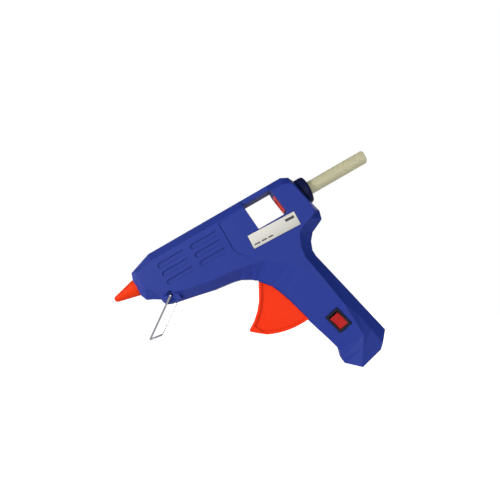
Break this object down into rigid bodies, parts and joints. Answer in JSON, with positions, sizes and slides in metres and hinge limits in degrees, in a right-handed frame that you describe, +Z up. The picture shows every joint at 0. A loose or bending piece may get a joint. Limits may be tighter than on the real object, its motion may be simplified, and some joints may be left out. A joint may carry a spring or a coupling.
{
  "type": "hot-melt glue gun",
  "caption": "Nose-down hot-melt glue gun with a two-part body, trigger-fed glue stick, sight window, rocker switch and folding wire stand.",
  "frame": {"origin": "centre of the bounding box, on the table plane that the stand and the handle's foot rest on", "axes": "+X from the nozzle towards the glue stick's tail, +Z up from the table, +Y towards the right half shell"},
  "size_m": [0.2322, 0.0321, 0.1807],
  "materials": {
    "body_plastic": "fine matte grain",
    "label": "blank matt label",
    "sleeve_silicone": "matte silicone",
    "inlet_silicone": "matte silicone",
    "nozzle_brass": "turned",
    "chamber_aluminium": "as cast",
    "heater_ceramic": "matt",
    "plain_steel": "plain",
    "insulating_board": "pressed board",
    "carriage_plastic": "semi-gloss",
    "trigger_plastic": "satin",
    "collar_plastic": "satin",
    "hot_melt_glue": "translucent, waxy",
    "switch_plastic": "fine grain",
    "rocker_plastic": "semi-gloss",
    "terminal_brass": "stamped",
    "lead_brown": "insulated wire",
    "lead_white": "insulated wire",
    "gland_rubber": "moulded",
    "stand_chrome": "plated wire"
  },
  "bodies": {
    "housing": {"left_housing": "body_plastic", "right_housing": "body_plastic", "label_plate": "label", "nozzle_sleeve": "sleeve_silicone", "nozzle_tip": "nozzle_brass", "melt_chamber": "chamber_aluminium", "heater_element": "heater_ceramic", "heater_clip": "plain_steel", "front_support": "insulating_board", "rear_support": "insulating_board", "inlet_sleeve": "inlet_silicone", "sleeve_clamp": "plain_steel", "trigger_pin": "plain_steel", "trigger_spring": "plain_steel", "rear_collar": "collar_plastic", "switch_body": "switch_plastic", "switch_terminal_1": "terminal_brass", "switch_terminal_2": "terminal_brass", "supply_lead": "lead_brown", "heater_lead": "lead_brown", "return_lead": "lead_white", "cord_gland": "gland_rubber", "cord_clamp": "switch_plastic", "clamp_screw_1": "plain_steel", "clamp_screw_2": "plain_steel", "housing_screw_1": "plain_steel", "housing_screw_2": "plain_steel", "housing_screw_3": "plain_steel", "housing_screw_4": "plain_steel", "housing_screw_5": "plain_steel", "housing_screw_6": "plain_steel", "housing_screw_7": "plain_steel"},
    "trigger": {"trigger": "trigger_plastic", "drive_pin": "plain_steel"},
    "carriage": {"feed_carriage": "carriage_plastic", "jaw_pin": "plain_steel"},
    "jaw": {"clamp_jaw": "plain_steel"},
    "stick": {"glue_stick": "hot_melt_glue"},
    "rocker": {"switch_rocker": "rocker_plastic"},
    "stand": {"stand_wire": "stand_chrome"}
  },
  "joints": [
    {"name": "trigger_pivot", "type": "hinge", "parent": "housing", "child": "trigger", "pos_m": [0.00508, 0, 0.08145], "axis": [0, -1, 0], "range_deg": [0, 24], "stiffness_Nm_per_rad": 0.12, "springref_deg": -20.05},
    {"name": "carriage_slide", "type": "slide", "parent": "housing", "child": "carriage", "axis": [-0.7986, 0, -0.6018], "range_m": [0, 0.00585]},
    {"name": "jaw_grip", "type": "hinge", "parent": "carriage", "child": "jaw", "pos_m": [0.0159, 0, 0.14019], "axis": [0, 1, 0], "range_deg": [0, 4.05]},
    {"name": "stick_slide", "type": "slide", "parent": "carriage", "child": "stick", "axis": [-0.7986, 0, -0.6018], "range_m": [-0.018, 0.05]},
    {"name": "rocker_tilt", "type": "hinge", "parent": "housing", "child": "rocker", "pos_m": [0.07571, -0.01121, 0.03571], "axis": [-0.5939, 0.2998, -0.7466], "range_deg": [0, 18]},
    {"name": "stand_fold", "type": "hinge", "parent": "housing", "child": "stand", "pos_m": [-0.06421, 0, 0.03963], "axis": [0, -1, 0], "range_deg": [0, 115]}
  ],
  "couplings": [
    {"joint": "carriage_slide", "follows": "trigger_pivot", "m_per_rad": 0.013897},
    {"joint": "jaw_grip", "follows": "trigger_pivot", "ratio": 0.16667}
  ]
}
